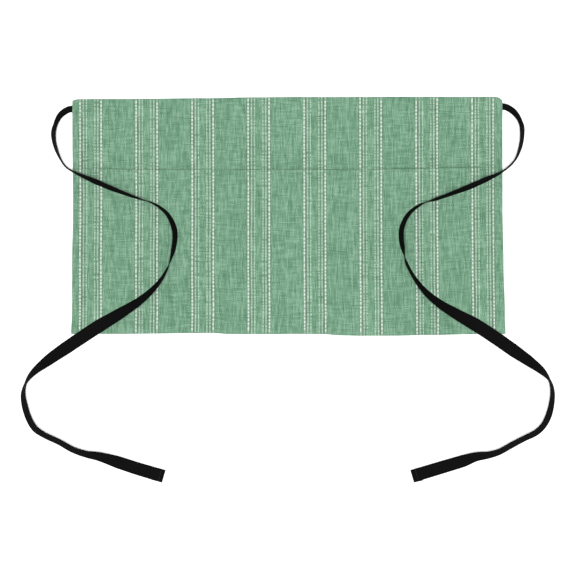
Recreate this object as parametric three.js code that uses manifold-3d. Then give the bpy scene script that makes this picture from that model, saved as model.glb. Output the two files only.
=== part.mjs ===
// Half apron with three pockets and two tape ties, lying flat with its front up.
// Lengths are in millimetres. Seen from the front, +X is to the right and +Y is towards the waist edge.
// +Z is out of the front. The origin is on the surface below the middle of the cloth.

import * as THREE from 'three';
import { mergeVertices } from 'three/addons/utils/BufferGeometryUtils.js';
import Module from 'manifold-3d';

// Cloth
const APRON_WIDTH = 562;
const APRON_HEIGHT = 309.5;
const CLOTH_THICKNESS = 1.2;
const LAYER_GAP = 0.3;
const TOP_HEM = 25;
const SIDE_HEM = 12;
const HEM_STEP = 1.5;
const EDGE_ROUND = 1.2;

// Outline: how far the edges draw in at most, and the two upper corners
const EDGE_WAVE = 4;
const LEFT_CORNER_LENGTH = 10;
const LEFT_CORNER_DROP = 2.8;
const RIGHT_CORNER_LENGTH = 11;
const RIGHT_CORNER_DROP = 6.5;

// Pockets
const POCKET_COUNT = 3;
const POCKET_DEPTH = 218;
const MOUTH_HEM = 12;
const MOUTH_SAG = 3.2;
const POCKET_EASE = 5.8;
const SEAM_LAND = 3;
const SEAM_FLANK = 30;
const BOTTOM_FLANK = 85;

// Ties
const TAPE_WIDTH = 17;
const TAPE_THICKNESS = 1;
const TIE_SEWN = 25;
const TIE_DROP = 12.9;
const TIE_OPENS = 30;
const TIE_END_HEM = 14;
const LUMP_FLANK = 5;
const LAY_GAP = 0.3;
const ROUTE_STEPS = 71;

const CLOTH_COLOUR = 0x76a887;
const TAPE_COLOUR = 0x161516;

// Edge tables: run is the share of the edge, from the left or the bottom, and draw is a share of EDGE_WAVE.
const TOP_EDGE = [
  { run: 0, draw: 0.78 },
  { run: 0.1, draw: 0.74 },
  { run: 0.33, draw: 0.46 },
  { run: 0.41, draw: 0.2 },
  { run: 0.52, draw: 0.08 },
  { run: 0.66, draw: 0.08 },
  { run: 0.72, draw: 0 },
  { run: 1, draw: 0 },
];
const BOTTOM_EDGE = [
  { run: 0, draw: 0.62 },
  { run: 0.1, draw: 0.6 },
  { run: 0.325, draw: 0.9 },
  { run: 0.365, draw: 0.58 },
  { run: 0.47, draw: 0.5 },
  { run: 0.51, draw: 0.62 },
  { run: 0.58, draw: 0.52 },
  { run: 0.625, draw: 0.12 },
  { run: 0.67, draw: 0 },
  { run: 0.74, draw: 0.03 },
  { run: 0.84, draw: 0.29 },
  { run: 0.92, draw: 0.5 },
  { run: 1, draw: 0.6 },
];
const LEFT_EDGE = [
  { run: 0, draw: 0 },
  { run: 0.1, draw: 0.3 },
  { run: 0.3, draw: 0.31 },
  { run: 0.54, draw: 0.62 },
  { run: 0.88, draw: 0.4 },
  { run: 1, draw: 0.4 },
];
const RIGHT_EDGE = [
  { run: 0, draw: 0 },
  { run: 0.1, draw: 0.2 },
  { run: 0.3, draw: 0.64 },
  { run: 0.54, draw: 0.96 },
  { run: 1, draw: 1 },
];

// Route of each tie from where it leaves the hem: out is away from the middle of the apron, and down is
// towards its bottom edge. Seen is the share of the tape's width that shows from above, and it is negative
// where the tape leans the other way.
const LEFT_TIE_ROUTE = [
  { out: 0, down: 0, seen: 1 },
  { out: 5, down: 0.9, seen: 0.75 },
  { out: 15, down: 7.5, seen: 0.42 },
  { out: 22.7, down: 20.6, seen: 0.44 },
  { out: 24.1, down: 37, seen: 0.34 },
  { out: 20.5, down: 52.5, seen: 0.25 },
  { out: 14.5, down: 66, seen: 0.12 },
  { out: 8.5, down: 74.5, seen: 0.1 },
  { out: -1, down: 81, seen: 0.1 },
  { out: -29, down: 93.5, seen: 0.36 },
  { out: -52.5, down: 103.5, seen: 0.31 },
  { out: -84.5, down: 115.5, seen: 0.12 },
  { out: -106.5, down: 123, seen: -0.12 },
  { out: -123.5, down: 136.5, seen: -0.26 },
  { out: -132, down: 154.5, seen: -0.37 },
  { out: -133, down: 166, seen: -0.34 },
  { out: -130.5, down: 183.5, seen: -0.29 },
  { out: -122.5, down: 207.5, seen: 0.13 },
  { out: -110, down: 227, seen: 0.32 },
  { out: -89.5, down: 246.5, seen: 0.56 },
  { out: -61, down: 265, seen: 0.84 },
  { out: -33.5, down: 281.5, seen: 1 },
  { out: -17.5, down: 292, seen: 0.98 },
  { out: 9.5, down: 310, seen: 0.97 },
  { out: 31, down: 325, seen: 0.82 },
  { out: 52, down: 342.5, seen: 0.43 },
  { out: 60.3, down: 355, seen: 0.17 },
  { out: 63.4, down: 369, seen: 0.36 },
  { out: 61.5, down: 383, seen: 0.48 },
  { out: 56, down: 400.5, seen: 0.49 },
  { out: 48, down: 413.5, seen: 0.49 },
  { out: 36.5, down: 421.5, seen: 0.44 },
  { out: 16.5, down: 431, seen: 0.44 },
  { out: -0.5, down: 440.5, seen: 0.46 },
  { out: -18, down: 446.5, seen: 0.51 },
  { out: -34.5, down: 449.5, seen: 0.68 },
  { out: -59, down: 457, seen: 0.94 },
  { out: -83.5, down: 465, seen: 0.97 },
  { out: -117.5, down: 475, seen: 1 },
];
const RIGHT_TIE_ROUTE = [
  { out: 0, down: 0, seen: 1 },
  { out: 5, down: 0.9, seen: 0.75 },
  { out: 15, down: 7.2, seen: 0.42 },
  { out: 24, down: 19.5, seen: 0.44 },
  { out: 25.5, down: 35, seen: 0.33 },
  { out: 23, down: 52.5, seen: 0.27 },
  { out: 15.5, down: 70, seen: 0.12 },
  { out: 0, down: 84, seen: 0.1 },
  { out: -19.5, down: 93.5, seen: 0.33 },
  { out: -42, down: 103.5, seen: 0.38 },
  { out: -65.5, down: 112.5, seen: 0.26 },
  { out: -86.5, down: 120, seen: 0.19 },
  { out: -106.5, down: 127, seen: -0.14 },
  { out: -121.5, down: 139, seen: -0.27 },
  { out: -130, down: 156, seen: -0.34 },
  { out: -131, down: 171, seen: -0.35 },
  { out: -129, down: 183, seen: -0.28 },
  { out: -124.5, down: 201.5, seen: 0.18 },
  { out: -115, down: 220, seen: 0.24 },
  { out: -100, down: 239.5, seen: 0.43 },
  { out: -81.5, down: 255, seen: 0.62 },
  { out: -58.5, down: 269, seen: 0.82 },
  { out: -34.5, down: 282.5, seen: 1 },
  { out: -8.5, down: 299.5, seen: 1 },
  { out: 14.5, down: 315.5, seen: 1 },
  { out: 35.5, down: 330, seen: 0.8 },
  { out: 51, down: 342, seen: 0.53 },
  { out: 60.3, down: 353, seen: 0.17 },
  { out: 64.3, down: 366, seen: 0.32 },
  { out: 64, down: 380.5, seen: 0.41 },
  { out: 60, down: 398.5, seen: 0.49 },
  { out: 53, down: 412.5, seen: 0.46 },
  { out: 43.5, down: 421.5, seen: 0.46 },
  { out: 27.5, down: 429.5, seen: 0.43 },
  { out: 10.5, down: 438.5, seen: 0.46 },
  { out: -4, down: 446.5, seen: 0.46 },
  { out: -17.5, down: 450.5, seen: 0.53 },
  { out: -34.5, down: 453, seen: 0.71 },
  { out: -51, down: 458.5, seen: 0.93 },
  { out: -76, down: 466, seen: 0.97 },
  { out: -116, down: 478, seen: 1 },
];

const LEFT = -1;
const RIGHT = 1;
const { clamp, lerp, smoothstep } = THREE.MathUtils;

// Sizes that follow from the ones above
const FOLDED_TAPE_WIDTH = TAPE_WIDTH / 2;
const FOLDED_TAPE_THICKNESS = 2 * TAPE_THICKNESS;
const SLOT_WIDTH = FOLDED_TAPE_WIDTH + 2 * LAYER_GAP;
const SLOT_HEIGHT = FOLDED_TAPE_THICKNESS + 2 * LAYER_GAP;
const SLOT_MIDDLE = CLOTH_THICKNESS + SLOT_HEIGHT / 2;
const LUMP_HEIGHT = 2 * CLOTH_THICKNESS + SLOT_HEIGHT;
const LUMP_HALF_WIDTH = SLOT_WIDTH / 2 + CLOTH_THICKNESS;
const LUMP_LENGTH = TIE_SEWN + CLOTH_THICKNESS;
const FOLD_WALL = LAYER_GAP / 3;
const FOLD_INNER = CLOTH_THICKNESS + LAYER_GAP;

// Where each pocket's cloth is sewn down, as distances from the left edge. The outermost seams take the hems.
const POCKETS = Array.from({ length: POCKET_COUNT }, (unused, pocket) => ({
  left: (pocket / POCKET_COUNT) * APRON_WIDTH,
  right: ((pocket + 1) / POCKET_COUNT) * APRON_WIDTH,
  leftLand: pocket === 0 ? SIDE_HEM : SEAM_LAND,
  rightLand: pocket === POCKET_COUNT - 1 ? SIDE_HEM : SEAM_LAND,
}));

// Outline

function readEdge(table, run) {
  const next = Math.max(1, table.findIndex((row) => row.run >= run));
  const before = table[next - 1];
  const after = table[next];
  return EDGE_WAVE * lerp(before.draw, after.draw, smoothstep(run, before.run, after.run));
}

function cornerDrop(distance, length, drop) {
  const inside = 1 - clamp(distance / length, 0, 1);
  return drop * (1 - Math.sqrt(1 - inside * inside));
}

function topEdgeAt(across) {
  const left = cornerDrop(across * APRON_WIDTH, LEFT_CORNER_LENGTH, LEFT_CORNER_DROP);
  const right = cornerDrop((1 - across) * APRON_WIDTH, RIGHT_CORNER_LENGTH, RIGHT_CORNER_DROP);
  return APRON_HEIGHT / 2 - readEdge(TOP_EDGE, across) - left - right;
}

function bottomEdgeAt(across) {
  return -APRON_HEIGHT / 2 + readEdge(BOTTOM_EDGE, across);
}

function sideEdgesAt(up) {
  return {
    left: -APRON_WIDTH / 2 + readEdge(LEFT_EDGE, up),
    right: APRON_WIDTH / 2 - readEdge(RIGHT_EDGE, up),
  };
}

function placeOnCloth(across, up) {
  const sides = sideEdgesAt(up);
  return {
    x: lerp(sides.left, sides.right, across),
    y: lerp(bottomEdgeAt(across), topEdgeAt(across), up),
  };
}

function mouthAt(across) {
  return (POCKET_DEPTH - MOUTH_SAG * Math.sin(Math.PI * across)) / APRON_HEIGHT;
}

// Heights of the two cloth layers

function distancesToEdges(across, up) {
  return {
    side: Math.min(across, 1 - across) * APRON_WIDTH,
    top: (1 - up) * APRON_HEIGHT,
    bottom: up * APRON_HEIGHT,
  };
}

// Share of a turned hem's extra layer: 1 over the hem, 0 past its inner edge.
function turnedLayer(distance, hem) {
  return 1 - smoothstep(distance, hem, hem + HEM_STEP);
}

function edgeRounding(distance) {
  const inside = 1 - clamp(distance / EDGE_ROUND, 0, 1);
  return (CLOTH_THICKNESS / 2) * (1 - Math.sqrt(1 - inside * inside));
}

// The lump that a tie's sewn end makes in the top hem.
function tieLump(edges) {
  const along = 1 - smoothstep(edges.side, LUMP_LENGTH, LUMP_LENGTH + LUMP_FLANK);
  const aside = Math.abs(edges.top - TIE_DROP);
  return along * (1 - smoothstep(aside, LUMP_HALF_WIDTH, LUMP_HALF_WIDTH + LUMP_FLANK));
}

function panelHeight(across, up) {
  const edges = distancesToEdges(across, up);
  const hem = Math.max(turnedLayer(edges.side, SIDE_HEM), turnedLayer(edges.top, TOP_HEM));
  const layers = CLOTH_THICKNESS * (1 + hem);
  return lerp(layers, LUMP_HEIGHT, tieLump(edges));
}

// How far a pocket's front stands off the panel: flat over its middle, and down at its seams and its bottom.
function pocketStandOff(across, up) {
  const pocket = POCKETS[clamp(Math.floor(across * POCKET_COUNT), 0, POCKET_COUNT - 1)];
  const fromLeft = across * APRON_WIDTH - pocket.left;
  const fromRight = pocket.right - across * APRON_WIDTH;
  const left = smoothstep(fromLeft, pocket.leftLand, pocket.leftLand + SEAM_FLANK);
  const right = smoothstep(fromRight, pocket.rightLand, pocket.rightLand + SEAM_FLANK);
  const bottom = smoothstep(up * APRON_HEIGHT, FOLD_INNER, FOLD_INNER + BOTTOM_FLANK);
  return POCKET_EASE * left * right * bottom;
}

// Underside and face of the pocket cloth. Its mouth hem is turned in, towards the panel.
function pocketHeights(across, up) {
  const under = panelHeight(across, up) + LAYER_GAP + pocketStandOff(across, up);
  const fromMouth = (mouthAt(across) - up) * APRON_HEIGHT;
  const hem = CLOTH_THICKNESS * turnedLayer(fromMouth, MOUTH_HEM);
  const room = smoothstep(pocketStandOff(across, up), 0, CLOTH_THICKNESS);
  return { under: under - hem * room, face: under + CLOTH_THICKNESS + hem * (1 - room) };
}

// Height of whatever cloth is topmost at a point, 0 beside the apron.
function topmostCloth(x, y) {
  const middle = sideEdgesAt(0.5);
  const guess = clamp((x - middle.left) / (middle.right - middle.left), 0, 1);
  const up = (y - bottomEdgeAt(guess)) / (topEdgeAt(guess) - bottomEdgeAt(guess));
  const sides = sideEdgesAt(clamp(up, 0, 1));
  const across = (x - sides.left) / (sides.right - sides.left);
  if (up < 0 || up > 1 || across < 0 || across > 1) {
    return 0;
  }
  return up < mouthAt(across) ? pocketHeights(across, up).face : panelHeight(across, up);
}

// Solids

// A closed sheet over a grid. The place function gives each grid point's position on its lower or upper skin.
function sheetGeometry(columns, rows, place) {
  const geometry = new THREE.BoxGeometry(1, 1, 1, columns.length - 1, rows.length - 1, 1);
  const position = geometry.attributes.position;
  for (let index = 0; index < position.count; index += 1) {
    const column = columns[Math.round((position.getX(index) + 0.5) * (columns.length - 1))];
    const row = rows[Math.round((position.getY(index) + 0.5) * (rows.length - 1))];
    const point = place(column, row, position.getZ(index) > 0);
    position.setXYZ(index, point.x, point.y, point.z);
  }
  geometry.deleteAttribute('normal');
  geometry.deleteAttribute('uv');
  geometry.clearGroups();
  return mergeVertices(geometry);
}

// Grid lines from 0 to 1 at the given distances along a length, in order and without near doubles.
function gridLines(length, distances) {
  const nearest = FOLD_WALL / 2;
  const inside = distances.filter((distance) => distance > nearest && distance < length - nearest);
  const sorted = [0, ...inside, length].sort((first, second) => first - second);
  const kept = sorted.filter((distance, index) => index === 0 || distance - sorted[index - 1] > nearest);
  return kept.map((distance) => distance / length);
}

function evenSteps(start, end, count) {
  return Array.from({ length: count + 1 }, (unused, index) => lerp(start, end, index / count));
}

function fromBothEnds(length, distances) {
  return [...distances, ...distances.map((distance) => length - distance)];
}

const ROUNDED_EDGE = [0.15 * EDGE_ROUND, 0.5 * EDGE_ROUND, EDGE_ROUND];
const SIDE_HEM_LINES = [SIDE_HEM, SIDE_HEM + HEM_STEP];
const FLANK_STEPS = 5;

function panelColumns() {
  const lump = evenSteps(LUMP_LENGTH, LUMP_LENGTH + LUMP_FLANK, 2);
  const corner = evenSteps(0, RIGHT_CORNER_LENGTH, 4);
  const edgeRows = [...TOP_EDGE, ...BOTTOM_EDGE].map((row) => row.run * APRON_WIDTH);
  const sides = fromBothEnds(APRON_WIDTH, [...ROUNDED_EDGE, ...SIDE_HEM_LINES, ...lump, ...corner]);
  return gridLines(APRON_WIDTH, [...sides, ...edgeRows]);
}

// Both layers have rows where the side edges turn, so that their side hems stay in step.
function sideRows() {
  return [...LEFT_EDGE, ...RIGHT_EDGE].map((row) => row.run * APRON_HEIGHT);
}

function panelRows() {
  const lumpHalf = evenSteps(LUMP_HALF_WIDTH, LUMP_HALF_WIDTH + LUMP_FLANK, 2);
  const lump = lumpHalf.flatMap((aside) => [TIE_DROP - aside, TIE_DROP + aside]);
  const fromTop = [...ROUNDED_EDGE, TOP_HEM, TOP_HEM + HEM_STEP, ...lump];
  return gridLines(APRON_HEIGHT, [...fromTop.map((distance) => APRON_HEIGHT - distance), ...sideRows()]);
}

function panelGeometry() {
  return sheetGeometry(panelColumns(), panelRows(), (across, up, isFace) => {
    const edges = distancesToEdges(across, up);
    const point = placeOnCloth(across, up);
    const lowest = bottomEdgeAt(across) + FOLD_INNER;
    const face = panelHeight(across, up) - edgeRounding(Math.min(edges.side, edges.top));
    return { x: point.x, y: Math.max(point.y, lerp(lowest, point.y, up)), z: isFace ? face : 0 };
  });
}

function pocketColumns() {
  const lines = fromBothEnds(APRON_WIDTH, [...ROUNDED_EDGE, ...SIDE_HEM_LINES]);
  for (const { left, right, leftLand, rightLand } of POCKETS) {
    lines.push(left, (left + right) / 2);
    lines.push(...evenSteps(left + leftLand, left + leftLand + SEAM_FLANK, FLANK_STEPS));
    lines.push(...evenSteps(right - rightLand, right - rightLand - SEAM_FLANK, FLANK_STEPS));
  }
  const edgeRows = BOTTOM_EDGE.map((row) => row.run * APRON_WIDTH);
  return gridLines(APRON_WIDTH, [...lines, ...edgeRows]);
}

// Rows of the pocket cloth, each with its place as a share of the pocket's depth.
function pocketRows() {
  const foldLines = [...ROUNDED_EDGE.slice(0, 2), CLOTH_THICKNESS, CLOTH_THICKNESS + FOLD_WALL];
  const flank = evenSteps(FOLD_INNER, FOLD_INNER + BOTTOM_FLANK, FLANK_STEPS);
  const fromMouth = [ROUNDED_EDGE[0], EDGE_ROUND, MOUTH_HEM, MOUTH_HEM + HEM_STEP];
  const mouthLines = fromMouth.map((distance) => POCKET_DEPTH - distance);
  const turns = sideRows().filter((distance) => distance < POCKET_DEPTH - MOUTH_HEM - HEM_STEP);
  return gridLines(POCKET_DEPTH, [...foldLines, ...flank, ...turns, ...mouthLines]);
}

function pocketGeometry() {
  return sheetGeometry(pocketColumns(), pocketRows(), (across, depth, isFace) => {
    const up = depth * mouthAt(across);
    const edges = distancesToEdges(across, up);
    const fromMouth = (mouthAt(across) - up) * APRON_HEIGHT;
    const heights = pocketHeights(across, up);
    const inFold = depth * POCKET_DEPTH < CLOTH_THICKNESS + FOLD_WALL / 2;
    const under = inFold ? 0 : heights.under;
    const rounding = edgeRounding(Math.min(edges.side, edges.bottom, fromMouth));
    return { ...placeOnCloth(across, up), z: isFace ? heights.face - rounding : under };
  });
}

// Where a tie leaves the end of the top hem.
function tieExit(side) {
  const across = side === LEFT ? 0 : 1;
  const top = APRON_HEIGHT / 2 - readEdge(TOP_EDGE, across);
  const up = 1 - TIE_DROP / APRON_HEIGHT;
  const sides = sideEdgesAt(up);
  return { x: side === LEFT ? sides.left : sides.right, y: top - TIE_DROP };
}

function slotGeometry(side) {
  const overrun = 2 * EDGE_WAVE;
  const exit = tieExit(side);
  const geometry = new THREE.BoxGeometry(TIE_SEWN + LAYER_GAP + overrun, SLOT_WIDTH, SLOT_HEIGHT);
  geometry.translate(exit.x + (side * (overrun - TIE_SEWN - LAYER_GAP)) / 2, exit.y, SLOT_MIDDLE);
  geometry.deleteAttribute('normal');
  geometry.deleteAttribute('uv');
  return mergeVertices(geometry);
}

// A tie's cross-sections from its sewn end to its free end, each with its place, heading, lean and size.
function tieSections(side, route) {
  const exit = tieExit(side);
  const points = route.map((row) => new THREE.Vector3(exit.x + side * row.out, exit.y - row.down, 0));
  const curve = new THREE.CatmullRomCurve3(points, false, 'centripetal');
  curve.arcLengthDivisions = 20 * route.length;
  const length = curve.getLength();
  const clearOfEdge = LAYER_GAP;
  const sewn = { heading: new THREE.Vector3(side, 0, 0), seen: 1, run: 0 };
  const sections = [
    { ...sewn, x: exit.x - side * TIE_SEWN, y: exit.y },
    { ...sewn, x: exit.x + side * clearOfEdge, y: exit.y },
  ];
  const hemStep = TAPE_THICKNESS;
  const lastPlain = length - TIE_END_HEM - hemStep;
  const runs = [...evenSteps(0, lastPlain, ROUTE_STEPS).slice(1), length - TIE_END_HEM, length];
  for (const run of runs) {
    const share = curve.getUtoTmapping(run / length);
    const row = Math.min(Math.floor(share * (route.length - 1)), route.length - 2);
    const seen = lerp(route[row].seen, route[row + 1].seen, share * (route.length - 1) - row);
    const point = curve.getPoint(share);
    sections.push({ x: point.x, y: point.y, heading: curve.getTangent(share), seen, run });
  }
  for (const section of sections) {
    const open = smoothstep(section.run, 0, TIE_OPENS);
    const layers = section.run > lastPlain + hemStep / 2 ? 2 : 1;
    section.width = lerp(FOLDED_TAPE_WIDTH, TAPE_WIDTH, open);
    section.thickness = lerp(FOLDED_TAPE_THICKNESS, layers * TAPE_THICKNESS, open);
    section.lift = Math.sqrt(1 - section.seen * section.seen);
    section.inward = new THREE.Vector3(side * section.heading.y, -side * section.heading.x, 0);
  }
  return sections;
}

// Height of the cloth below a section, looked at over the tape's width.
function clothBelow(section) {
  const halfSeen = (section.width * Math.abs(section.seen) + section.thickness * section.lift) / 2;
  const heights = [-1, -0.5, 0, 0.5, 1].map((share) => {
    const aside = section.inward.clone().multiplyScalar(share * halfSeen);
    return topmostCloth(section.x + aside.x, section.y + aside.y);
  });
  return Math.max(...heights);
}

// Middle height of each section: in its slot where it is sewn, else lying on what is below it.
function tieHeights(sections) {
  const below = sections.map(clothBelow);
  return sections.map((section, index) => {
    if (section.run === 0) {
      return SLOT_MIDDLE;
    }
    const near = below.slice(Math.max(0, index - 1), index + 2);
    const support = section.run < TIE_OPENS ? 0 : Math.max(...near);
    const halfHeight = (section.width * section.lift + section.thickness * Math.abs(section.seen)) / 2;
    const lying = support + LAY_GAP + halfHeight;
    return Math.max(lying, lerp(SLOT_MIDDLE, lying, smoothstep(section.run, 0, TIE_OPENS)));
  });
}

function tieGeometry(side, route) {
  const sections = tieSections(side, route);
  const heights = tieHeights(sections);
  const stations = sections.map((section, index) => ({ ...section, z: heights[index] }));
  const profile = [
    { aside: -0.5, thickness: 0.4 },
    { aside: -0.45, thickness: 1 },
    { aside: 0.45, thickness: 1 },
    { aside: 0.5, thickness: 0.4 },
  ];
  return sheetGeometry(stations, profile, (station, corner, isFace) => {
    const aside = -side * corner.aside * station.width;
    const off = (isFace ? 0.5 : -0.5) * corner.thickness * station.thickness;
    const level = aside * station.seen - off * station.lift;
    return {
      x: station.x + station.inward.x * level,
      y: station.y + station.inward.y * level,
      z: station.z + aside * station.lift + off * station.seen,
    };
  });
}

// The slots for the ties' sewn ends are cut out of the hem.

const wasm = await Module();
wasm.setup();

function toManifold(geometry) {
  const vertProperties = new Float32Array(geometry.attributes.position.array);
  const triVerts = new Uint32Array(geometry.index.array);
  return new wasm.Manifold(new wasm.Mesh({ numProp: 3, vertProperties, triVerts }));
}

function cutAway(geometry, tools) {
  const cut = tools.reduce((solid, tool) => solid.subtract(toManifold(tool)), toManifold(geometry));
  const mesh = cut.getMesh();
  const result = new THREE.BufferGeometry();
  result.setAttribute('position', new THREE.BufferAttribute(mesh.vertProperties, 3));
  result.setIndex(new THREE.BufferAttribute(mesh.triVerts, 1));
  return result;
}

// Apron

function makePiece(name, geometry, colour) {
  geometry.computeVertexNormals();
  const material = new THREE.MeshStandardMaterial({ color: colour, roughness: 0.9, metalness: 0 });
  const mesh = new THREE.Mesh(geometry, material);
  mesh.name = name;
  return mesh;
}

const apron = new THREE.Group();
apron.add(makePiece('apron_panel', cutAway(panelGeometry(), [LEFT, RIGHT].map(slotGeometry)), CLOTH_COLOUR));
apron.add(makePiece('pocket_panel', pocketGeometry(), CLOTH_COLOUR));
apron.add(makePiece('left_tie', tieGeometry(LEFT, LEFT_TIE_ROUTE), TAPE_COLOUR));
apron.add(makePiece('right_tie', tieGeometry(RIGHT, RIGHT_TIE_ROUTE), TAPE_COLOUR));

export default apron;
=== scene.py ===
"""Striped waist apron with three pockets and two tape ties, lying flat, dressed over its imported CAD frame.

Lengths are in metres. Seen from the front, +X is to the right and +Y is towards the waist edge.
+Z is out of the front.
"""

import math
import random

import bmesh
import bpy
from mathutils import Matrix, Vector, noise


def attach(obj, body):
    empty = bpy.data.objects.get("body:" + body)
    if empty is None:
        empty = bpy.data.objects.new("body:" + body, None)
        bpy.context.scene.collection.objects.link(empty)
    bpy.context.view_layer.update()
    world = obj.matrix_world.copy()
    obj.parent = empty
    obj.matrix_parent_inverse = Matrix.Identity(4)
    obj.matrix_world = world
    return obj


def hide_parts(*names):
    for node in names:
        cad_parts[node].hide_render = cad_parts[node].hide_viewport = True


bl_info = {
    "name": "Striped Waist Apron",
    "version": (1, 0, 0),
    "blender": (4, 5, 0),
    "location": "View3D > Sidebar > Apron",
    "description": "Builds a striped waist apron with pockets and tape ties, and a plain studio round it",
    "category": "Add Mesh",
}

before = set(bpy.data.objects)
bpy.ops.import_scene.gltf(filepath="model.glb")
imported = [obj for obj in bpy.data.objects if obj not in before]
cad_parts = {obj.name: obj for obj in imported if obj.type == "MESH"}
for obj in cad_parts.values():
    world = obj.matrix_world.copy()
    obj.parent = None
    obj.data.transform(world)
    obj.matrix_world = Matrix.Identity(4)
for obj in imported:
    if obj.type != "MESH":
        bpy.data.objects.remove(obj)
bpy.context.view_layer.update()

MM = 0.001
BODY = "root"
UP = Vector((0.0, 0.0, 1.0))
LEFT = -1
RIGHT = 1

# Sizes that the CAD solids have too
APRON_WIDTH = 562 * MM
APRON_HEIGHT = 309.5 * MM
LAYER = 1.2 * MM
LAYER_GAP = 0.3 * MM
TOP_HEM = 25 * MM
SIDE_HEM = 12 * MM
HEM_STEP = 1.5 * MM
EDGE_WAVE = 4 * MM
LEFT_CORNER = (10 * MM, 2.8 * MM)
RIGHT_CORNER = (11 * MM, 6.5 * MM)
POCKET_COUNT = 3
POCKET_DEPTH = 218 * MM
MOUTH_HEM = 12 * MM
MOUTH_SAG = 3.2 * MM
POCKET_EASE = 5.8 * MM
SEAM_LAND = 3 * MM
SEAM_FLANK = 30 * MM
BOTTOM_FLANK = 85 * MM
TAPE_WIDTH = 17 * MM
TAPE_LAYER = 1 * MM
TIE_SEWN = 25 * MM
TIE_DROP = 12.9 * MM
TIE_OPENS = 30 * MM
TIE_END_HEM = 14 * MM
LUMP_FLANK = 5 * MM
LAY_GAP = 0.3 * MM
SLOT_WIDTH = TAPE_WIDTH / 2 + 2 * LAYER_GAP
SLOT_HEIGHT = 2 * TAPE_LAYER + 2 * LAYER_GAP
SLOT_MIDDLE = LAYER + SLOT_HEIGHT / 2
LUMP_HEIGHT = 2 * LAYER + SLOT_HEIGHT
LUMP_HALF_WIDTH = SLOT_WIDTH / 2 + LAYER
LUMP_LENGTH = TIE_SEWN + LAYER
FOLD_INNER = LAYER + LAYER_GAP

# Edge rows: share of the edge from the left or the bottom, then how far it draws in as a share of EDGE_WAVE
TOP_EDGE = (
    (0.0, 0.78), (0.1, 0.74), (0.33, 0.46), (0.41, 0.2), (0.52, 0.08), (0.66, 0.08), (0.72, 0.0),
    (1.0, 0.0),
)
BOTTOM_EDGE = (
    (0.0, 0.62), (0.1, 0.6), (0.325, 0.9), (0.365, 0.58), (0.47, 0.5), (0.51, 0.62), (0.58, 0.52),
    (0.625, 0.12), (0.67, 0.0), (0.74, 0.03), (0.84, 0.29), (0.92, 0.5), (1.0, 0.6),
)
LEFT_EDGE = (
    (0.0, 0.0), (0.1, 0.3), (0.3, 0.31), (0.54, 0.62), (0.88, 0.4), (1.0, 0.4),
)
RIGHT_EDGE = (
    (0.0, 0.0), (0.1, 0.2), (0.3, 0.64), (0.54, 0.96), (1.0, 1.0),
)

# Route rows in millimetres from where a tie leaves the hem: away from the middle, towards the bottom edge,
# and the share of the tape's width that shows from above, negative where the tape leans the other way
LEFT_TIE_ROUTE = (
    (0, 0, 1), (5, 0.9, 0.75), (15, 7.5, 0.42), (22.7, 20.6, 0.44), (24.1, 37, 0.34),
    (20.5, 52.5, 0.25), (14.5, 66, 0.12), (8.5, 74.5, 0.1), (-1, 81, 0.1), (-29, 93.5, 0.36),
    (-52.5, 103.5, 0.31), (-84.5, 115.5, 0.12), (-106.5, 123, -0.12), (-123.5, 136.5, -0.26),
    (-132, 154.5, -0.37), (-133, 166, -0.34), (-130.5, 183.5, -0.29), (-122.5, 207.5, 0.13),
    (-110, 227, 0.32), (-89.5, 246.5, 0.56), (-61, 265, 0.84), (-33.5, 281.5, 1),
    (-17.5, 292, 0.98), (9.5, 310, 0.97), (31, 325, 0.82), (52, 342.5, 0.43), (60.3, 355, 0.17),
    (63.4, 369, 0.36), (61.5, 383, 0.48), (56, 400.5, 0.49), (48, 413.5, 0.49), (36.5, 421.5, 0.44),
    (16.5, 431, 0.44), (-0.5, 440.5, 0.46), (-18, 446.5, 0.51), (-34.5, 449.5, 0.68),
    (-59, 457, 0.94), (-83.5, 465, 0.97), (-117.5, 475, 1),
)
RIGHT_TIE_ROUTE = (
    (0, 0, 1), (5, 0.9, 0.75), (15, 7.2, 0.42), (24, 19.5, 0.44), (25.5, 35, 0.33),
    (23, 52.5, 0.27), (15.5, 70, 0.12), (0, 84, 0.1), (-19.5, 93.5, 0.33), (-42, 103.5, 0.38),
    (-65.5, 112.5, 0.26), (-86.5, 120, 0.19), (-106.5, 127, -0.14), (-121.5, 139, -0.27),
    (-130, 156, -0.34), (-131, 171, -0.35), (-129, 183, -0.28), (-124.5, 201.5, 0.18),
    (-115, 220, 0.24), (-100, 239.5, 0.43), (-81.5, 255, 0.62), (-58.5, 269, 0.82),
    (-34.5, 282.5, 1), (-8.5, 299.5, 1), (14.5, 315.5, 1), (35.5, 330, 0.8), (51, 342, 0.53),
    (60.3, 353, 0.17), (64.3, 366, 0.32), (64, 380.5, 0.41), (60, 398.5, 0.49), (53, 412.5, 0.46),
    (43.5, 421.5, 0.46), (27.5, 429.5, 0.43), (10.5, 438.5, 0.46), (-4, 446.5, 0.46),
    (-17.5, 450.5, 0.53), (-34.5, 453, 0.71), (-51, 458.5, 0.93), (-76, 466, 0.97), (-116, 478, 1),
)

# How the shown cloth is made
SKIN_DROP = 0.25 * MM
FLOOR_REST = 0.4 * MM
NESTED_STEP = 0.62 * MM
HEM_RADIUS = 0.75 * MM
SIDE_RADIUS = 0.42 * MM
BOTTOM_RADIUS = 1.0 * MM
GRID_STEP = 3 * MM
FOLD_STEPS = 6
RUN_BACK_ROWS = 3
SEAM_TO_EDGE = 2 * MM
SEAM_END = 0.004
BOTTOM_RUN_BACK = 0.15 * MM
HAIR = 0.01 * MM
CUT_SNAP = 0.1 * MM
THREAD_WIDTH = 0.42 * MM
THREAD_HEIGHT = 0.4 * MM
MOUTH_SEAM_PARTS = 12

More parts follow.
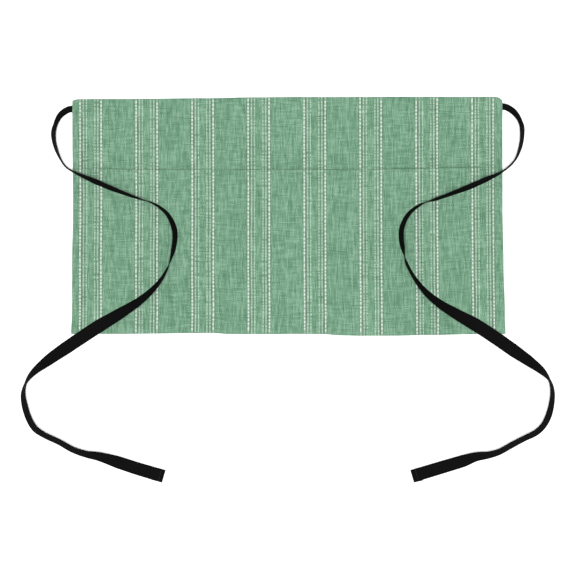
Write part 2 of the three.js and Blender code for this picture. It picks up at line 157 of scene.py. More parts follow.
# How the stripes lie: the first pair's middle, from pair to pair, and half the way between a pair's lines
FIRST_PAIR = -256.4 * MM
PAIR_PITCH = 72.78 * MM
PAIR_COUNT = 8
HALF_PAIR = 13.65 * MM
PATTERN_FOLLOWS_EDGE = 0.45

# The lines of a pair: how far each lies inward of its white stripe, and half its width
WHITE_LINE = (0.0, 1.05 * MM)
NEAR_PALE_LINE = (4.35 * MM, 0.85 * MM)
FAR_PALE_LINE = (8.2 * MM, 0.8 * MM)
OUTER_GAP = (-1.9 * MM, 0.6 * MM)
NEAR_GAP = (2.15 * MM, 0.8 * MM)
MIDDLE_GAP = (6.3 * MM, 0.8 * MM)
DOT_DRIFT = 2.4
DOT_DRIFT_RATE = 90.0
PALE_BEATS = 1.35

# The white floats: ranges of length and gap as shares of the pitch, of width as a share of the set width
FLOAT_LENGTHS = (0.5, 0.82)
FLOAT_GAPS = (0.2, 0.36)
FLOAT_WIDTHS = (0.88, 1.1)
LONG_FLOAT_LENGTHS = (1.5, 2.1)
LONG_FLOAT_WIDTH = 0.86
FLOAT_THICKNESS = 0.42
FLOAT_SLIP = 0.12
FLOAT_TURN = 0.06
FLOATS_BELOW_MOUTH = 30 * MM
FLOATS_TO_EDGE = 1.2 * MM
PANEL_SEED = 11
POCKET_SEED = 23

# How the weave is drawn
WEAVE_PITCH = 1.5 * MM
WEAVE_SLUB = 20 * MM
BROAD_PITCH = 2.6 * MM
BROAD_SLUB = 34 * MM
WARP_NOISE_STEP = 1.37
WEFT_NOISE_STEP = 1.51
WARP_NOISE_LEVEL = 3.0
WEFT_NOISE_LEVEL = 9.0
CROSSING_DIP = 0.4
HOLLOW_SHADE = 0.16
MEAN_TONE = 0.49
LIGHT_TONE = 0.6
DARK_TONE = 0.38
SLOW_TONE = 0.04
THREAD_TONE = 0.62
WARP_TONE = 0.16
BROAD_TONE = 0.18
NODE_SPACING = 180

# The materials' noise scales, twists, roughness ranges, and bumps as depth and strength
SLOW_TONE_SCALE = 14.0
FLUFF_SCALE = 900.0
GRAIN_SCALE = 2600.0
MOTTLE_SCALE = 6.0
NOISE_SPREAD = (0.3, 0.7)
YARN_TWIST = 1.1 * MM
THREAD_TWIST = 0.5 * MM
CLOTH_ROUGHNESS = (0.94, 0.82)
YARN_ROUGHNESS = (0.7, 0.85)
TAPE_ROUGHNESS = (0.76, 0.9)
FLOOR_ROUGHNESS = (0.86, 0.94)
CLOTH_BUMP = (0.12 * MM, 0.7)
YARN_BUMP = (0.08 * MM, 0.6)
TAPE_BUMP = (0.1 * MM, 0.6)

# How the shown tape is made
STATIONS_PER_ROW = 8
TAPE_SEGMENTS = 12
TAPE_SHOWN_LAYER = 0.86 * MM
CREASE_HALF = 0.8 * MM
LEAVES_OPEN = 46 * MM
SUPPORT_REACH = 11 * MM
SUPPORT_SOFTENING = 7 * MM
END_STITCH_INSET = 4.5 * MM
END_STITCHES = 6
END_STITCH_SPAN = 0.82
END_THREAD = 0.5 * MM
SEWN_SHARES = (1.0, 0.75, 0.5, 0.25)
FOLD_PARTS = 24
FLAT_REACH = 3 * MM
TURN_ANGLES = (45, 90, 135, 180)
LEFT_END_SLIP = 0.3 * MM
END_HEM_RISE = 4 * MM
CHEVRON_WIDTH = 2 * MM
RIB_PITCH = 0.95 * MM

# The stage, in metres, and the camera's sensor in millimetres
FLOOR_HALF = 15
CLIP_END = 50
SENSOR_WIDTH = 36


# Shapes shared by the pieces


def lerp(first, second, share):
    return first + (second - first) * share


def clamp(value, low=0.0, high=1.0):
    return min(max(value, low), high)


def smoothstep(value, low, high):
    share = clamp((value - low) / (high - low))
    return share * share * (3 - 2 * share)


def read_edge(rows, run):
    last = len(rows) - 2
    index = next((number for number in range(last) if run <= rows[number + 1][0]), last)
    before, after = rows[index], rows[index + 1]
    return EDGE_WAVE * lerp(before[1], after[1], smoothstep(run, before[0], after[0]))


def corner_drop(distance, corner):
    length, drop = corner
    inside = 1 - clamp(distance / length)
    return drop * (1 - math.sqrt(1 - inside * inside))


def top_edge_at(across):
    left = corner_drop(across * APRON_WIDTH, LEFT_CORNER)
    right = corner_drop((1 - across) * APRON_WIDTH, RIGHT_CORNER)
    return APRON_HEIGHT / 2 - read_edge(TOP_EDGE, across) - left - right


def bottom_edge_at(across):
    return -APRON_HEIGHT / 2 + read_edge(BOTTOM_EDGE, across)


def side_edges_at(up):
    left = -APRON_WIDTH / 2 + read_edge(LEFT_EDGE, up)
    right = APRON_WIDTH / 2 - read_edge(RIGHT_EDGE, up)
    return left, right


def place_on_cloth(across, up):
    left, right = side_edges_at(up)
    return lerp(left, right, across), lerp(bottom_edge_at(across), top_edge_at(across), up)


def mouth_at(across):
    return (POCKET_DEPTH - MOUTH_SAG * math.sin(math.pi * across)) / APRON_HEIGHT


def side_distance(across):
    return min(across, 1 - across) * APRON_WIDTH


def turned_layer(distance, hem):
    return 1 - smoothstep(distance, hem, hem + HEM_STEP)


def tie_lump(across, up):
    aside = abs((1 - up) * APRON_HEIGHT - TIE_DROP)
    along = 1 - smoothstep(side_distance(across), LUMP_LENGTH, LUMP_LENGTH + LUMP_FLANK)
    return along * (1 - smoothstep(aside, LUMP_HALF_WIDTH, LUMP_HALF_WIDTH + LUMP_FLANK))


def panel_height(across, up):
    side = turned_layer(side_distance(across), SIDE_HEM)
    top = turned_layer((1 - up) * APRON_HEIGHT, TOP_HEM)
    return lerp(LAYER * (1 + max(side, top)), LUMP_HEIGHT, tie_lump(across, up))


def pocket_stand_off(across, up):
    pocket = int(clamp(math.floor(across * POCKET_COUNT), 0, POCKET_COUNT - 1))
    from_left = (across - pocket / POCKET_COUNT) * APRON_WIDTH
    from_right = ((pocket + 1) / POCKET_COUNT - across) * APRON_WIDTH
    left_land = SIDE_HEM if pocket == 0 else SEAM_LAND
    right_land = SIDE_HEM if pocket == POCKET_COUNT - 1 else SEAM_LAND
    left = smoothstep(from_left, left_land, left_land + SEAM_FLANK)
    right = smoothstep(from_right, right_land, right_land + SEAM_FLANK)
    bottom = smoothstep(up * APRON_HEIGHT, FOLD_INNER, FOLD_INNER + BOTTOM_FLANK)
    return POCKET_EASE * left * right * bottom


def pocket_height(across, up):
    stand_off = pocket_stand_off(across, up)
    from_mouth = (mouth_at(across) - up) * APRON_HEIGHT
    room = smoothstep(stand_off, 0, LAYER)
    hem = LAYER * turned_layer(from_mouth, MOUTH_HEM) * (1 - room)
    return panel_height(across, up) + LAYER_GAP + stand_off + LAYER + hem


def cloth_shares(x, y):
    """Shares across and up the cloth of a point in the row frame, outside 0 to 1 beside it."""
    left, right = side_edges_at(0.5)
    guess = clamp((x - left) / (right - left))
    up = (y - bottom_edge_at(guess)) / (top_edge_at(guess) - bottom_edge_at(guess))
    left, right = side_edges_at(clamp(up))
    return (x - left) / (right - left), up


def topmost_cloth(x, y):
    across, up = cloth_shares(x, y)
    if min(across, up) < 0 or max(across, up) > 1:
        return 0.0
    return pocket_height(across, up) if up < mouth_at(across) else panel_height(across, up)


def ripple(x, y):
    """Slow unevenness of cloth that lies by itself, from -1 to 1."""
    broad = noise.noise(Vector((x * 9 + 3.1, y * 13 + 7.7, 0.5)))
    narrow = noise.noise(Vector((x * 31 + 1.7, y * 24 + 2.3, 4.5)))
    return clamp(1.1 * broad + 0.7 * narrow, -1, 1)


def panel_face(across, up):
    """Middle height of the panel's face layer."""
    cloth = bpy.context.scene.apron_cloth
    x, y = place_on_cloth(across, up)
    lump = tie_lump(across, up)
    wave = cloth.ripple_height * ripple(x, y) * (1 - lump)
    lying = panel_height(across, up) - SKIN_DROP - cloth.thickness / 2 + wave
    corner = turned_layer(side_distance(across), SIDE_HEM) * turned_layer((1 - up) * APRON_HEIGHT, TOP_HEM)
    return max(lying, corner * (FLOOR_REST + 3 * NESTED_STEP))


def pocket_face(across, up):
    """Middle height of the pocket cloth's face layer."""
    cloth = bpy.context.scene.apron_cloth
    x, y = place_on_cloth(across, up)
    return pocket_height(across, up) - SKIN_DROP - cloth.thickness / 2 + cloth.ripple_height * ripple(x, y)


def pattern_run(across, up):
    """Place across the weave's pattern, which follows the wavy side edges only in part."""
    x, y = place_on_cloth(across, up)
    return lerp(x, (across - 0.5) * APRON_WIDTH, PATTERN_FOLLOWS_EDGE)


def across_of_stripe(run, up):
    """Share across the cloth at which the pattern has the given run."""
    left, right = side_edges_at(up)
    middle = (left + right) / 2
    width = lerp(right - left, APRON_WIDTH, PATTERN_FOLLOWS_EDGE)
    return 0.5 + (run - middle * (1 - PATTERN_FOLLOWS_EDGE)) / width


# Objects and mesh steps


def add_object(name, mesh):
    piece = bpy.data.objects.new(name, mesh)
    bpy.context.scene.collection.objects.link(piece)
    return piece


def finish_mesh(bm, name, material, smooth=True):
    mesh = bpy.data.meshes.new(name)
    for face in bm.faces:
        face.smooth = smooth
    bm.to_mesh(mesh)
    bm.free()
    mesh.materials.append(material)
    return add_object(name, mesh)


def flat_cloth(left, right, bottom, top, cuts_across, cuts_up):
    """A flat grid of cloth that remembers each point's place on the cut cloth."""
    bm = bmesh.new()
    columns = round((right - left) / GRID_STEP)
    rows = round((top - bottom) / GRID_STEP)
    bmesh.ops.create_grid(bm, x_segments=columns, y_segments=rows, size=0.5)
    bmesh.ops.scale(bm, verts=bm.verts, vec=(right - left, top - bottom, 1))
    bmesh.ops.translate(bm, verts=bm.verts, vec=((left + right) / 2, (bottom + top) / 2, 0))
    for cuts, normal in ((cuts_across, Vector((1, 0, 0))), (cuts_up, Vector((0, 1, 0)))):
        for cut in cuts:
            everything = bm.verts[:] + bm.edges[:] + bm.faces[:]
            bmesh.ops.bisect_plane(bm, geom=everything, dist=CUT_SNAP, plane_co=normal * cut, plane_no=normal)
    run_across = bm.verts.layers.float.new("cloth_across")
    run_up = bm.verts.layers.float.new("cloth_up")
    for vert in bm.verts:
        vert[run_across] = vert.co.x
        vert[run_up] = vert.co.y
    return bm


def of_kind(items, kind):
    """The items of one mesh kind, in their order."""
    return [item for item in items if isinstance(item, kind)]


def turn_edge(bm, outward, line, radius, hem):
    """Folds the cloth's border at the line to its back, round the radius, and runs it back by the hem."""
    axis_point = outward * line - UP * radius
    on_line = {vert for vert in bm.verts if abs(vert.co.dot(outward) - line) < HAIR}
    border = [edge for edge in bm.edges if edge.is_boundary and on_line.issuperset(edge.verts)]
    before = set(bm.verts)
    turn = {"cent": axis_point, "axis": UP.cross(outward), "angle": math.pi, "steps": FOLD_STEPS}
    spun = bmesh.ops.spin(bm, geom=border + list({vert for edge in border for vert in edge.verts}), **turn)
    last = of_kind(spun["geom_last"], bmesh.types.BMEdge)
    rows = RUN_BACK_ROWS if hem > GRID_STEP else 1
    for _ in range(rows):
        grown = bmesh.ops.extrude_edge_only(bm, edges=last)["geom"]
        moved = of_kind(grown, bmesh.types.BMVert)
        last = [edge for edge in of_kind(grown, bmesh.types.BMEdge) if set(edge.verts) <= set(moved)]
        bmesh.ops.translate(bm, verts=moved, vec=-outward * hem / rows)
    name = "cloth_across" if abs(outward.x) > 0.5 else "cloth_up"
    layer = bm.verts.layers.float[name]
    sign = outward.x + outward.y
    for vert in bm.verts:
        if vert not in before:
            beyond = vert.co.dot(outward) - line
            angle = math.atan2(max(beyond, 0.0), vert.co.z + radius)
            run = math.pi if beyond < HAIR and vert.co.z < -radius else angle
            vert[layer] = sign * (line + radius * run + max(0.0, -beyond))


def turn_sides(bm, start):
    """Turns both side hems of a cloth whose flat part ends at the start and as far from the other side."""
    for outward, line in ((Vector((-1, 0, 0)), -start), (Vector((1, 0, 0)), APRON_WIDTH - start)):
        turn_edge(bm, outward, line, SIDE_RADIUS, SIDE_HEM - start)


def cuts_from_sides(*lines):
    """Cuts at the given distances from the left side, then from the right one."""
    return [*lines, *(APRON_WIDTH - line for line in lines)]


def nest_depth(depth, full):
    """Depth through a turned edge, with its first and last layer's bends brought to the nested step."""
    side_depth = 2 * SIDE_RADIUS
    if depth >= full - side_depth:
        return full - (full - depth) * NESTED_STEP / side_depth
    if depth <= side_depth:
        return depth * NESTED_STEP / side_depth
    return depth


def nested_level(depth, full, face, back, side):
    """Height at a depth through a turned edge: an even bend, or nested round a side hem where side is 1."""
    even = lerp(face, back, clamp(depth / full))
    if depth <= NESTED_STEP:
        nested = face - depth
    elif depth >= full - NESTED_STEP:
        nested = back + full - depth
    else:
        share = (depth - NESTED_STEP) / (full - 2 * NESTED_STEP)
        nested = lerp(face - NESTED_STEP, back + NESTED_STEP, share)
    return lerp(even, nested, side)


def lay_out(bm, place):
    """Moves every point from the flat cut to where the apron lies. Its place on the cut becomes a UV map."""
    run_across = bm.verts.layers.float["cloth_across"]
    run_up = bm.verts.layers.float["cloth_up"]
    pattern = {}
    for vert in bm.verts:
        across, up, level = place(*vert.co)
        across_cut = vert[run_across] / APRON_WIDTH
        beyond_side = vert[run_across] - clamp(across_cut) * APRON_WIDTH
        pattern[vert] = (pattern_run(clamp(across_cut), clamp(up)) + beyond_side, vert[run_up])
        x, y = place_on_cloth(across, up)
        vert.co = (x, y, level)
    weave = bm.loops.layers.uv.new("cloth")
    for face in bm.faces:
        for loop in face.loops:
            loop[weave].uv = pattern[loop.vert]
    bmesh.ops.recalc_face_normals(bm, faces=bm.faces)


def add_thickness(piece, thickness):
    solidify = piece.modifiers.new("Thickness", "SOLIDIFY")
    solidify.thickness = thickness
    solidify.offset = 0


def surface_matrix(across, up, height_at, turn):
    """Matrix that stands on the cloth with its Y axis along the warp and its Z axis out of the surface."""
    step = 0.5 * MM
    here = place_on_cloth(across, up)
    slope_x = height_at(across + step / APRON_WIDTH, up) - height_at(across - step / APRON_WIDTH, up)
    slope_y = height_at(across, up + step / APRON_HEIGHT) - height_at(across, up - step / APRON_HEIGHT)
    normal = Vector((-slope_x / (2 * step), -slope_y / (2 * step), 1)).normalized()
    along = Matrix.Rotation(turn, 3, "Z") @ Vector((0, 1, 0))
    side = along.cross(normal).normalized()
    along = normal.cross(side)
    point = Vector((here[0], here[1], height_at(across, up)))
    rotation = Matrix((side, along, normal)).transposed().to_4x4()
    return Matrix.Translation(point) @ rotation


def add_grain(bm, matrix, width, length, thickness, segments=8, rings=6):
    """One short float of yarn: a long rounded grain along the matrix's Y axis."""
    lying = Matrix.Rotation(math.pi / 2, 4, "X")
    size = Matrix.Diagonal((width / 2, length / 2, thickness / 2, 1))
    shape = {"u_segments": segments, "v_segments": rings, "radius": 1}
    bmesh.ops.create_uvsphere(bm, matrix=matrix @ size @ lying, **shape)


def join_rows(rows, name, material):
    """One mesh from many small ones, which are freed."""
    whole = bmesh.new()
    for row in rows:
        part = bpy.data.meshes.new("row")
        row.to_mesh(part)
        row.free()
        whole.from_mesh(part)
        bpy.data.meshes.remove(part)
    return finish_mesh(whole, name, material)


# Shader nodes


class Wiring:
    """Adds nodes to one shader tree. Steps take sockets, numbers or colours and return the node's output."""

    def __init__(self, tree):
        self.tree = tree

    def add(self, kind, **values):
        node = self.tree.nodes.new(kind)
        node.location.x = NODE_SPACING * len(self.tree.nodes)
        for key, value in values.items():
            setattr(node, key, value)
        return node

    def feed(self, sockets, values):
        for socket, value in zip(sockets, values):
            if isinstance(value, bpy.types.NodeSocket):
                self.tree.links.new(value, socket)
            else:
                socket.default_value = value

    def calculate(self, operation, *values, clamped=False):
        node = self.add("ShaderNodeMath", operation=operation, use_clamp=clamped)
        self.feed(node.inputs, values)
        return node.outputs[0]

    def times(self, first, second):
        return self.calculate("MULTIPLY", first, second)

    def plus(self, first, second):
        return self.calculate("ADD", first, second)

    def minus(self, first, second):
        return self.calculate("SUBTRACT", first, second)

    def divided(self, first, second):
        return self.calculate("DIVIDE", first, second)

    def scaled(self, value, factor, added=0.0):
        """The value times the factor, plus what is added."""
        return self.calculate("MULTIPLY_ADD", value, factor, added)

    def wave(self, value, turns):
        """A sine of the value times the turns, from 0 to 1."""
        return self.scaled(self.calculate("SINE", self.scaled(value, turns * math.tau)), 0.5, 0.5)

    def combine(self, x, y, z=0.0):
        node = self.add("ShaderNodeCombineXYZ")
        self.feed(node.inputs, (x, y, z))
        return node.outputs[0]

    def separate(self, vector):
        node = self.add("ShaderNodeSeparateXYZ")
        self.feed(node.inputs, (vector,))
        return node.outputs[0], node.outputs[1]

    def fade(self, value, start, end, low=0.0, high=1.0):
        """Smooth change from low at start to high at end."""
        node = self.add("ShaderNodeMapRange", interpolation_type="SMOOTHSTEP")
        self.feed(node.inputs, (value, start, end, low, high))
        return node.outputs["Result"]

    def cloud(self, vector, scale, detail=2.0):
        node = self.add("ShaderNodeTexNoise")
        self.feed([node.inputs[name] for name in ("Vector", "Scale", "Detail")], (vector, scale, detail))
        return node.outputs["Fac"]

    def mix(self, share, first, second, blend="MIX"):
        node = self.add("ShaderNodeMix", data_type="RGBA", blend_type=blend)
        colours = []
        for value in (first, second):
            colours.append(value if isinstance(value, bpy.types.NodeSocket) else (*value, 1))
        self.feed((node.inputs[0], *node.inputs[6:8]), (share, *colours))
        return node.outputs[2]

    def mix_values(self, share, first, second):
        node = self.add("ShaderNodeMix", data_type="FLOAT")
        self.feed((node.inputs[0], *node.inputs[2:4]), (share, first, second))
        return node.outputs[0]

    def group(self, group, place, **values):
        node = self.add("ShaderNodeGroup", node_tree=group)
        self.tree.links.new(place, node.inputs["Place"])
        for name, value in values.items():
            node.inputs[name.replace("_", " ")].default_value = value
        return node.outputs

    def uv_place(self, name):
        return self.add("ShaderNodeUVMap", uv_map=name).outputs["UV"]

    def object_place(self):
        return self.add("ShaderNodeTexCoord").outputs["Object"]

    def paint(self, shader, colour, roughness):
        self.feed((shader.inputs["Base Color"], shader.inputs["Roughness"]), (colour, roughness))

    def bump(self, shader, height, distance, strength):
        node = self.add("ShaderNodeBump")
        sockets = [node.inputs[name] for name in ("Distance", "Strength", "Height")]
        self.feed(sockets, (distance, strength, height))
        self.tree.links.new(node.outputs["Normal"], shader.inputs["Normal"])


def new_group(name, numbers, outputs):
    """A shader node group that reads a place and some numbers, with the sockets that it reads and fills."""
    group = bpy.data.node_groups.new(name, "ShaderNodeTree")
    group.interface.new_socket(name="Place", in_out="INPUT", socket_type="NodeSocketVector")
    for label, default in numbers.items():
        socket = group.interface.new_socket(name=label, in_out="INPUT", socket_type="NodeSocketFloat")
        socket.default_value = default
    for label in outputs:
        group.interface.new_socket(name=label, in_out="OUTPUT", socket_type="NodeSocketFloat")
    given = group.nodes.new("NodeGroupInput").outputs
    results = group.nodes.new("NodeGroupOutput").inputs
    return group, given, results


def woven_threads_group():
    """Plain weave of uneven threads: tone of the top thread, of the upright one, and the crown's height."""
    numbers = {"Pitch": 1 * MM, "Slub Length": 22 * MM}
    group, given, results = new_group("woven_threads", numbers, ("Tone", "Warp", "Height"))
    nodes = Wiring(group)
    across, up = nodes.separate(given["Place"])
    warp = nodes.divided(across, given["Pitch"])
    weft = nodes.divided(up, given["Pitch"])
    warp_number = nodes.calculate("FLOOR", warp)
    weft_number = nodes.calculate("FLOOR", weft)
    warp_run = nodes.divided(up, given["Slub Length"])
    weft_run = nodes.divided(across, given["Slub Length"])
    warp_aside = nodes.times(warp_number, WARP_NOISE_STEP)
    weft_aside = nodes.times(weft_number, WEFT_NOISE_STEP)
    warp_tone = nodes.cloud(nodes.combine(warp_aside, warp_run, WARP_NOISE_LEVEL), 1.0)
    weft_tone = nodes.cloud(nodes.combine(weft_run, weft_aside, WEFT_NOISE_LEVEL), 1.0)
    both = nodes.plus(warp_number, weft_number)
    over = nodes.calculate("ABSOLUTE", nodes.calculate("MODULO", both, 2.0))
    crowns = []
    for thread in (warp, weft):
        aside = nodes.calculate("PINGPONG", thread, 0.5)
        crowns.append(nodes.calculate("SINE", nodes.times(aside, math.pi)))
    warp_over = nodes.times(crowns[0], nodes.scaled(crowns[1], CROSSING_DIP, 1 - CROSSING_DIP))
    weft_over = nodes.times(crowns[1], nodes.scaled(crowns[0], CROSSING_DIP, 1 - CROSSING_DIP))
    tone = nodes.mix_values(over, weft_tone, warp_tone)
    height = nodes.mix_values(over, weft_over, warp_over)
    nodes.feed([results[name] for name in ("Tone", "Warp", "Height")], (tone, warp_tone, height))
    return group


def stripe_group():
    """Pairs of stripes along the cloth: the white line, and the dark dotted gaps and pale lines beside it."""
    group, given, results = new_group("paired_stripes", {"Dot Pitch": 5.2 * MM}, ("White", "Pale", "Dark"))
    nodes = Wiring(group)
    across, up = nodes.separate(given["Place"])
    shifted = nodes.minus(across, FIRST_PAIR - PAIR_PITCH / 2)
    number = nodes.divided(shifted, PAIR_PITCH)
    share = nodes.minus(nodes.calculate("FRACT", number), 0.5)
    signed = nodes.times(share, PAIR_PITCH)
    from_middle = nodes.calculate("ABSOLUTE", signed)
    line_number = nodes.plus(nodes.calculate("FLOOR", number), nodes.calculate("SIGN", signed))
    drift_place = nodes.combine(line_number, nodes.times(up, DOT_DRIFT_RATE), 2.0)
    drift = nodes.scaled(nodes.cloud(drift_place, 1.0, 1.0), DOT_DRIFT, line_number)
    phase = nodes.plus(nodes.divided(up, given["Dot Pitch"]), drift)

    def line(inward, half_width):
        off = nodes.calculate("ABSOLUTE", nodes.minus(from_middle, HALF_PAIR - inward))
        return nodes.fade(off, half_width * 0.4, half_width * 1.25, 1.0, 0.0)

    def dotted(band, least, beats=1):
        return nodes.times(band, nodes.scaled(nodes.wave(phase, beats), 1 - least, least))

    near_pale = dotted(line(*NEAR_PALE_LINE), 0.12, PALE_BEATS)
    far_pale = dotted(line(*FAR_PALE_LINE), 0.0, PALE_BEATS)
    outer = nodes.times(line(*OUTER_GAP), 0.6)
    near = nodes.calculate("MAXIMUM", line(*NEAR_GAP), outer)
    between = nodes.times(dotted(line(*MIDDLE_GAP), 0.2), 0.8)
    pale = nodes.calculate("MAXIMUM", near_pale, far_pale)
    dark = nodes.calculate("MAXIMUM", dotted(near, 0.35), between)
    nodes.feed([results[name] for name in ("White", "Pale", "Dark")], (line(*WHITE_LINE), pale, dark))
    return group


def new_material(name, roughness, sheen=0.0, specular=0.3):
    """A material with a Principled shader and its constant values, with its wiring and its shader."""
    material = bpy.data.materials.new(name)
    material.use_nodes = True
    shader = material.node_tree.nodes["Principled BSDF"]
    shader.inputs["Roughness"].default_value = roughness
    shader.inputs["Sheen Weight"].default_value = sheen
    shader.inputs["Sheen Roughness"].default_value = 0.5
    shader.inputs["Specular IOR Level"].default_value = specular
    return material, Wiring(material.node_tree), shader


def striped_cloth_material(name):
    """Coarse sage weave with white stripes, drawn at the cloth's own places, so it goes round the hems."""
    cloth = bpy.context.scene.apron_cloth
    material, nodes, shader = new_material(name, 0.88, sheen=0.08, specular=0.2)
    threads = woven_threads_group()
    place = nodes.uv_place("cloth")
    weave = nodes.group(threads, place, Pitch=WEAVE_PITCH, Slub_Length=WEAVE_SLUB)
    broad = nodes.group(threads, place, Pitch=BROAD_PITCH, Slub_Length=BROAD_SLUB)
    lines = nodes.group(stripe_group(), place)
    tone = nodes.times(nodes.cloud(place, SLOW_TONE_SCALE), SLOW_TONE)
    tone = nodes.scaled(weave["Tone"], THREAD_TONE, tone)
    tone = nodes.scaled(weave["Warp"], WARP_TONE, tone)
    tone = nodes.scaled(broad["Warp"], BROAD_TONE, tone)
    colour = nodes.mix(nodes.fade(tone, MEAN_TONE, LIGHT_TONE), cloth.ground_colour, cloth.light_colour)
    colour = nodes.mix(nodes.fade(tone, MEAN_TONE, DARK_TONE), colour, cloth.dark_colour)
    colour = nodes.mix(nodes.times(lines["Dark"], 0.8), colour, cloth.gap_colour)
    pale = nodes.times(lines["Pale"], nodes.scaled(weave["Height"], 0.5, 0.5))
    colour = nodes.mix(pale, colour, cloth.pale_colour)
    colour = nodes.mix(nodes.times(lines["White"], 0.9), colour, cloth.under_white_colour)
    hollow = nodes.scaled(weave["Height"], HOLLOW_SHADE, 1 - HOLLOW_SHADE)
    colour = nodes.mix(1.0, colour, nodes.combine(hollow, hollow, hollow), "MULTIPLY")
    roughness = nodes.fade(weave["Height"], 0, 1, *CLOTH_ROUGHNESS)
    nodes.paint(shader, colour, roughness)
    nodes.bump(shader, weave["Height"], *CLOTH_BUMP)
    return material


def yarn_material(name, colour, shadow_colour, twist):
    """Loose yarn or thread, with its plies running round it."""
    material, nodes, shader = new_material(name, 0.75, sheen=0.1)
    place = nodes.object_place()
    aside, along = nodes.separate(place)
    slant = nodes.plus(along, nodes.times(aside, 0.7))
    fluff = nodes.cloud(place, FLUFF_SCALE)
    ridges = nodes.wave(slant, 1 / twist)
    share = nodes.calculate("MULTIPLY_ADD", ridges, 0.5, nodes.times(fluff, 0.7), clamped=True)
    roughness = nodes.fade(fluff, *NOISE_SPREAD, *YARN_ROUGHNESS)
    nodes.paint(shader, nodes.mix(share, shadow_colour, colour), roughness)
    nodes.bump(shader, share, *YARN_BUMP)
    return material


def tape_material(name):
    """Black twill tape: chevron ribs with painted shade between them, and a tighter selvedge at both edges.
    """
    ties = bpy.context.scene.apron_ties
    material, nodes, shader = new_material(name, 0.82, specular=0.02)
    along, aside = nodes.separate(nodes.uv_place("tape"))
    slant = nodes.plus(along, nodes.calculate("PINGPONG", aside, CHEVRON_WIDTH))
    ribs = nodes.wave(slant, 1 / RIB_PITCH)
    grain = nodes.cloud(nodes.combine(nodes.times(along, 0.15), aside), GRAIN_SCALE)
    from_middle = nodes.calculate("ABSOLUTE", aside)
    rim = nodes.fade(from_middle, TAPE_WIDTH / 2 - 2.2 * MM, TAPE_WIDTH / 2 - 0.4 * MM)
    # Painted shade: between the ribs the tape goes to its low colour, mixed with random grain
    rib_shade_and_grain = nodes.scaled(ribs, 0.45, nodes.times(grain, 0.55))
    colour = nodes.mix(rib_shade_and_grain, ties.shadow_colour, ties.tape_colour)
    colour = nodes.mix(nodes.times(rim, 0.6), colour, ties.shadow_colour)
    roughness = nodes.fade(grain, *NOISE_SPREAD, *TAPE_ROUGHNESS)
    nodes.paint(shader, colour, roughness)
    nodes.bump(shader, nodes.scaled(ribs, 0.7, nodes.times(rim, 0.4)), *TAPE_BUMP)
    return material


def floor_material():
    stage = bpy.context.scene.apron_stage
    material, nodes, shader = new_material("matt_white_floor", 0.9, specular=0.1)
    mottle = nodes.cloud(nodes.object_place(), MOTTLE_SCALE)
    lighter = [min(1.0, 1.02 * value) for value in stage.floor_colour]
    colour = nodes.mix(mottle, stage.floor_colour, lighter)
    roughness = nodes.fade(mottle, *NOISE_SPREAD, *FLOOR_ROUGHNESS)
    nodes.paint(shader, colour, roughness)
    return material


def shared_material(name, make, *values):
    """The material of that name, made once."""
    return bpy.data.materials.get(name) or make(name, *values)


def cloth_material():
    return shared_material("striped_hopsack", striped_cloth_material)


def white_yarn():
    cloth = bpy.context.scene.apron_cloth
    values = (cloth.white_colour, cloth.white_shadow_colour, YARN_TWIST)
    return shared_material("white_stripe_yarn", yarn_material, *values)


def sewing_thread():
    cloth = bpy.context.scene.apron_cloth
    values = (cloth.light_colour, cloth.dark_colour, THREAD_TWIST)
    return shared_material("green_sewing_thread", yarn_material, *values)


def tape_thread():
    ties = bpy.context.scene.apron_ties
    values = (ties.thread_colour, ties.shadow_colour, THREAD_TWIST)
    return shared_material("black_sewing_thread", yarn_material, *values)


# Ties


def route_stations(side, rows):
    """Stations along a tie from its exit: place on the floor plan, heading, share seen and run."""
    across = 0.0 if side == LEFT else 1.0
    edge = side_edges_at(1 - TIE_DROP / APRON_HEIGHT)[0 if side == LEFT else 1]
    exit_y = APRON_HEIGHT / 2 - read_edge(TOP_EDGE, across) - TIE_DROP
    points = [Vector((edge + side * out * MM, exit_y - down * MM, 0)) for out, down, seen in rows]
    padded = [2 * points[0] - points[1], *points, 2 * points[-1] - points[-2]]
    stations = []
    run = 0.0
    last = points[0]
    for row in range(len(points) - 1):
        near = padded[row : row + 4]
        before, start, end, after = near
        lead, step, trail = [math.sqrt((second - first).length) for first, second in zip(near, near[1:])]
        leaving = (start - before) / lead - (end - before) / (lead + step) + (end - start) / step
        arriving = (end - start) / step - (after - start) / (step + trail) + (after - end) / trail
        leaving *= step
        arriving *= step
        count = STATIONS_PER_ROW + (1 if row == len(points) - 2 else 0)
        for number in range(count):
            t = number / STATIONS_PER_ROW
            bend = 2 * start - 2 * end + leaving + arriving
            turn = -3 * start + 3 * end - 2 * leaving - arriving
            point = start + leaving * t + turn * t**2 + bend * t**3
            heading = (leaving + 2 * turn * t + 3 * bend * t**2).normalized()
            run += (point - last).length
            last = point
            seen = lerp(rows[row][2], rows[row + 1][2], t)
            stations.append({"point": point, "heading": heading, "seen": seen, "run": run})
    return stations


def tape_profile(openness):
    """Points across the tape, flat where openness is 1 and folded in half where it is 0."""
    closing = (1 - openness) * math.pi / 2
    reach = lerp(CREASE_HALF, FLAT_REACH, openness)
    half = [(0.0, 0.0)]
    step = TAPE_WIDTH / 2 / FOLD_PARTS
    for number in range(FOLD_PARTS):
        angle = closing * clamp((number + 0.5) * step / reach)
        half.append((half[-1][0] + math.cos(angle) * step, half[-1][1] - math.sin(angle) * step))
    kept = half[:: 2 * FOLD_PARTS // TAPE_SEGMENTS]
    profile = [(-wide, off) for wide, off in reversed(kept[1:])] + kept
    offs = [off for wide, off in profile]
    middle = (min(offs) + max(offs)) / 2
    return [(wide, off - middle) for wide, off in profile]


